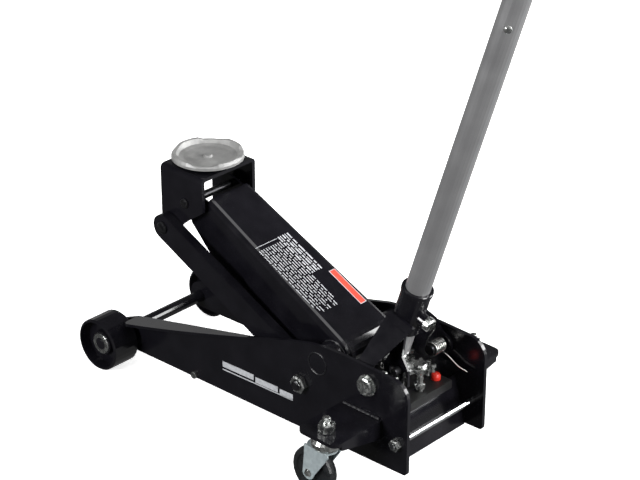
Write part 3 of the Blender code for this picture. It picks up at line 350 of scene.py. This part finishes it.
def add_threads():
    """Threads on the ends of the caster kingpins and of the link pivot bolts."""
    up = Vector((0, 0, 1))
    above_nut = 0.0006
    kingpin_radius, kingpin_tip = 0.006, 0.0016
    link_bolt_radius, link_bolt_tip = 0.008, 0.0020
    for tag, side in SIDES:
        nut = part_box("caster_nut_" + tag)
        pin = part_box("caster_kingpin_" + tag)
        centre = pivot("caster_%s_swivel" % tag)
        base = Vector((centre.x, centre.y, nut[1][2] + above_nut))
        add_thread("kingpin_thread_" + tag, base, up, kingpin_radius,
                   pin[1][2] - base.z - kingpin_tip)
        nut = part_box("link_pivot_nut_" + tag)
        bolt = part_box("link_pivot_bolt_" + tag)
        edge = nut[1][1] if side > 0 else nut[0][1]
        end = bolt[1][1] if side > 0 else bolt[0][1]
        link = pivot("link_%s_swing" % tag)
        base = Vector((link.x, edge + side * above_nut, link.z))
        add_thread("link_thread_" + tag, base, Vector((0, side, 0)), link_bolt_radius,
                   abs(end - edge) - link_bolt_tip)


# ---------------------------------------------------------------- springs

def spring(name, node, points, radius, sides=8):
    """A round wire that stands for its CAD node and runs between two bodies; it rides on neither."""
    bm = bmesh.new()
    bead(bm, points, radius, False, sides)
    obj = piece(name, bm, None, WIRE)
    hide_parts(node)
    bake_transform(obj)


def rounded(corners, radius, count=5):
    """A polyline whose inner corners are rounded off."""
    points = [corners[0]]
    for before, corner, after in zip(corners, corners[1:], corners[2:]):
        first = corner + (before - corner).normalized() * radius
        last = corner + (after - corner).normalized() * radius
        for i in range(count + 1):
            t = i / count
            points.append(first.lerp(corner, t).lerp(corner.lerp(last, t), t))
    return points + [corners[-1]]


def add_torsion_spring():
    """Coils round the right pivot bolt: one leg on the clamp bolt, one against the plate.

    Its own axes are the handle's: ahead of the handle, across the jack, and up the handle."""
    centre = pivot("pump_swing")
    lean = math.radians(HANDLE_LEAN)
    ahead = Vector((math.cos(lean), 0.0, -math.sin(lean)))
    upward = Vector((math.sin(lean), 0.0, math.cos(lean)))
    across = Vector((0.0, 1.0, 0.0))

    def spot(x, y, z):
        return centre + ahead * (x * MM) + across * (y * MM) + upward * (z * MM)

    first_y, last_y, radius = 51.0, 75.6, 10.2
    turns, per_turn = 6.25, 24
    wire, core = 0.00125, 0.00835
    coils = []
    for i in range(int(turns * per_turn) + 1):
        angle = math.pi + 2.0 * math.pi * i / per_turn
        y = first_y + (last_y - first_y) * i / (turns * per_turn)
        coils.append(spot(radius * math.cos(angle), y, radius * math.sin(angle)))
    leg = rounded([spot(9.0, 14.0, 83.6), spot(4.0, 34.0, 56.0), spot(-10.2, 49.6, 18.0),
                   coils[0]], 0.006)
    rest = rounded([coils[-1], spot(20.0, 75.8, -11.0), spot(40.0, 75.8, -15.0),
                    spot(58.0, 75.8, -11.5)], 0.005)
    bm = bmesh.new()
    bead(bm, [spot(0, y, 0) for y in (46.8, 49.5, 62.0, 83.9)], core, False, 32)
    piece("spring_core", bm, "chassis", BLACK_STEEL)
    spring("torsion_coil", "torsion_spring", leg[:-1] + coils + rest[1:], wire,
           10)


def add_return_springs():
    """Two coils with short straight ends that pull the arm down."""
    radius, wire, turns = 0.0042, 0.0012, 19
    for tag, _ in SIDES:
        node = "return_spring_" + tag
        low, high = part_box(node)
        y, z = (low[1] + high[1]) / 2.0, (low[2] + high[2]) / 2.0
        start = Vector((low[0] + 0.0075, y, z))
        length = high[0] - low[0] - 0.0130
        points = [start - Vector((0.0060, 0, 0)), start - Vector((0.0015, 0, 0))]
        points += coil(start, Vector((1, 0, 0)), radius, length, turns, 16)
        finish = start + Vector((length, 0, 0))
        points += [finish + Vector((0.0012, 0, 0)), finish + Vector((0.0040, 0, 0))]
        spring("return_coil_" + tag, node, points, wire, 6)


def add_pump_spring():
    """The coil round the pump plunger."""
    radius, wire, turns, end_gap = 0.0065, 0.0008, 6, 0.0009
    low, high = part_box("pump_spring")
    centre = Vector(((low[0] + high[0]) / 2.0, (low[1] + high[1]) / 2.0, low[2] + end_gap))
    length = high[2] - low[2] - 2.0 * end_gap
    points = coil(centre, Vector((0, 0, 1)), radius, length, turns)
    spring("pump_coil", "pump_spring", points, wire, 8)


# ---------------------------------------------------------------- printed bars

def arm_axes():
    """Directions on the cover: along it towards the rear, across it, and out of it."""
    along = (pivot("lift") - pivot("bracket_level")).normalized()
    across = Vector((0, 1, 0))
    return along, across, along.cross(across)


def add_arm_label():
    """Rows of plain dashes and a red bar on the arm's cover."""
    shaft = pivot("lift")
    along, across, out = arm_axes()
    cover, gap = 0.0300, 0.00005
    face = cover + gap

    def spot(x_mm, y_mm):
        """The point of the cover's face at x_mm behind the front axle and y_mm across."""
        world_x = x_mm * MM + (shaft.x - SHAFT_FROM_AXLE)
        reach = (world_x - shaft.x - out.x * face) / along.x
        return shaft + along * reach + out * face + across * (y_mm * MM)

    random.seed(11)
    white = bmesh.new()
    first_y, row_step = -45.0, 4.9
    rows, first_short_row = 15, 10
    for row in range(rows):
        bold = row in (10, 12, 14)
        y = first_y + row_step * row
        x, stop = 270.0, 396.0
        if row >= first_short_row:
            x, stop = 262.0, 336.0
        elif row % 3 == 0:
            stop = 384.0
        while x < stop:
            length = min(random.uniform(4.0, 15.0), stop - x)
            if length > 2.0:
                start, end = spot(x, y), spot(x + length, y)
                slab(white, start, along, across, out, (end - start).length,
                     (2.7 if bold else 1.7) * MM, 0.00010)
            x += length + random.uniform(1.6, 3.2)
    edge_start, edge_end = spot(263.0, first_y), spot(263.0, 1.0)
    slab(white, edge_start, across, along, out, (edge_end - edge_start).length, 0.0009, PRINT_THICK)
    piece("label_lines", white, "lift_arm", INK_WHITE, False)
    red, rim = bmesh.new(), bmesh.new()
    border, raised = 0.0012, 0.0001
    start, end = spot(345.0, 31.0), spot(412.0, 31.0)
    length = (end - start).length
    slab(rim, start, along, across, out, length, 0.0130, PRINT_THICK)
    slab(red, start + along * border + across * border + out * raised, along, across, out,
         length - 2.0 * border, 0.0106, PRINT_THICK)
    piece("label_bar_edge", rim, "lift_arm", INK_WHITE, False)
    piece("label_bar", red, "lift_arm", INK_RED, False)


# Stripes on each side plate, in millimetres: from and to behind the front axle, foot, height.
STRIPES = ((232, 300, 72, 10.0), (304, 352, 72, 10.0), (356, 384, 72, 10.0),
           (232, 384, 66.5, 2.0))


def add_side_stripes():
    """Plain stripes on the outer face of each side plate."""
    shift = pivot("lift").x - SHAFT_FROM_AXLE
    rise = Vector((1, 0, 0.035)).normalized()
    for tag, side in SIDES:
        outer = side * PRINT_OUTER
        bm = bmesh.new()
        for x0, x1, z, tall in STRIPES:
            base = Vector((x0 * MM + shift, outer, z * MM))
            slab(bm, base, rise, Vector((0, 0, 1)), Vector((0, side, 0)),
                 (x1 - x0) * MM, tall * MM, PRINT_THICK)
        piece("side_stripes_" + tag, bm, "chassis", INK_WHITE, False)


# ---------------------------------------------------------------- stage

def add_floor():
    """A pale floor that lights up by itself and doesn't show in the paint."""
    pale = surface("floor_pale", (0.90, 0.90, 0.90), (0.92, 0.92, 0.92), (0.8, 0.9),
                   scale=1.0, grain=10.0, depth=0.0)
    shader = pale.node_tree.nodes["Principled BSDF"]
    shader.inputs["Emission Color"].default_value = (1.0, 1.0, 1.0, 1.0)
    shader.inputs["Emission Strength"].default_value = 0.75
    bm = bmesh.new()
    bmesh.ops.create_grid(bm, x_segments=2, y_segments=2, size=60.0)
    obj = mesh_object("floor", bm, pale)
    obj.visible_glossy = False
    obj.visible_diffuse = False


def area_light(name, place, target, size, power):
    data = bpy.data.lights.new(name, "AREA")
    data.shape = "RECTANGLE"
    data.size = size[0]
    data.size_y = size[1]
    data.energy = power
    obj = bpy.data.objects.new(name, data)
    obj.location = place
    heading = Vector(target) - Vector(place)
    obj.rotation_euler = heading.to_track_quat("-Z", "Y").to_euler()
    bpy.context.scene.collection.objects.link(obj)


# Grey of the studio from straight down (0) through the horizon (0.5) to straight up (1).
SKY = ((0.0, 0.10), (0.46, 0.16), (0.53, 0.42), (0.62, 0.15), (0.80, 0.05), (0.93, 0.05),
       (1.0, 0.30))
# Direction of the studio's brighter side: to the rear and to the right.
BRIGHT_SIDE = (0.68, 0.73, 0.0)
# Each softbox: name, place, the point it faces, its size, its power in watts.
SOFTBOXES = (
    ("overhead", (0.0, -0.3, 3.2), (0.0, 0.0, 0.0), (2.6, 2.6), 46.0),
    ("front_left", (-0.6, -2.2, 1.0), (-0.2, 0.0, 0.3), (1.1, 0.7), 60.0),
    ("behind", (0.1, 2.8, 0.8), (0.0, 0.0, 0.6), (1.2, 1.2), 26.0),
    ("right_rear", (1.75, 2.15, 1.3), (0.1, 0.0, 0.6), (1.0, 2.0), 105.0),
    ("right", (2.75, 0.45, 1.2), (0.1, 0.0, 0.6), (0.9, 2.0), 105.0),
)


def add_light():
    """A dim studio, brightest at the horizon and on the right rear side, with five softboxes."""
    world = bpy.data.worlds.new("studio")
    world.use_nodes = True
    tree = world.node_tree
    shade = tree.nodes["Background"]
    coords = tree.nodes.new("ShaderNodeTexCoord")
    split = tree.nodes.new("ShaderNodeSeparateXYZ")
    tree.links.new(coords.outputs["Generated"], split.inputs["Vector"])
    height = tree.nodes.new("ShaderNodeMapRange")
    height.inputs["From Min"].default_value = -1.0
    height.inputs["From Max"].default_value = 1.0
    tree.links.new(split.outputs["Z"], height.inputs["Value"])
    sky = ramp(tree, height.outputs["Result"], [(place, (grey,) * 3) for place, grey in SKY])
    aside = tree.nodes.new("ShaderNodeVectorMath")
    aside.operation = "DOT_PRODUCT"
    aside.inputs[1].default_value = BRIGHT_SIDE
    tree.links.new(coords.outputs["Generated"], aside.inputs[0])
    gain = tree.nodes.new("ShaderNodeMapRange")
    gain.inputs["From Min"].default_value = -0.8
    gain.inputs["From Max"].default_value = 0.9
    gain.inputs["To Min"].default_value = 0.55
    gain.inputs["To Max"].default_value = 2.0
    tree.links.new(aside.outputs["Value"], gain.inputs["Value"])
    tree.links.new(gain.outputs["Result"], shade.inputs["Strength"])
    tree.links.new(sky, shade.inputs["Color"])
    bpy.context.scene.world = world
    bpy.context.scene.view_settings.view_transform = "Standard"
    for softbox in SOFTBOXES:
        area_light(*softbox)


def add_camera():
    azimuth, elevation, distance = math.radians(43.086), math.radians(26.787), 3.1788
    aim_from_axle, aim_height = 0.3557, 0.3029
    target = Vector((aim_from_axle - SHAFT_FROM_AXLE + pivot("lift").x, 0.0, aim_height))
    back = Vector((math.sin(azimuth) * math.cos(elevation),
                   -math.cos(azimuth) * math.cos(elevation),
                   math.sin(elevation)))
    data = bpy.data.cameras.new("camera")
    data.sensor_width = 36.0
    data.lens = 118.63
    data.clip_end = 200.0
    obj = bpy.data.objects.new("camera", data)
    obj.location = target + back * distance
    obj.rotation_euler = (-back).to_track_quat("-Z", "Y").to_euler()
    bpy.context.scene.collection.objects.link(obj)
    bpy.context.scene.camera = obj


dress_nodes()
add_welds()
add_threads()
add_torsion_spring()
add_return_springs()
add_pump_spring()
add_arm_label()
add_side_stripes()
add_floor()
add_light()
add_camera()
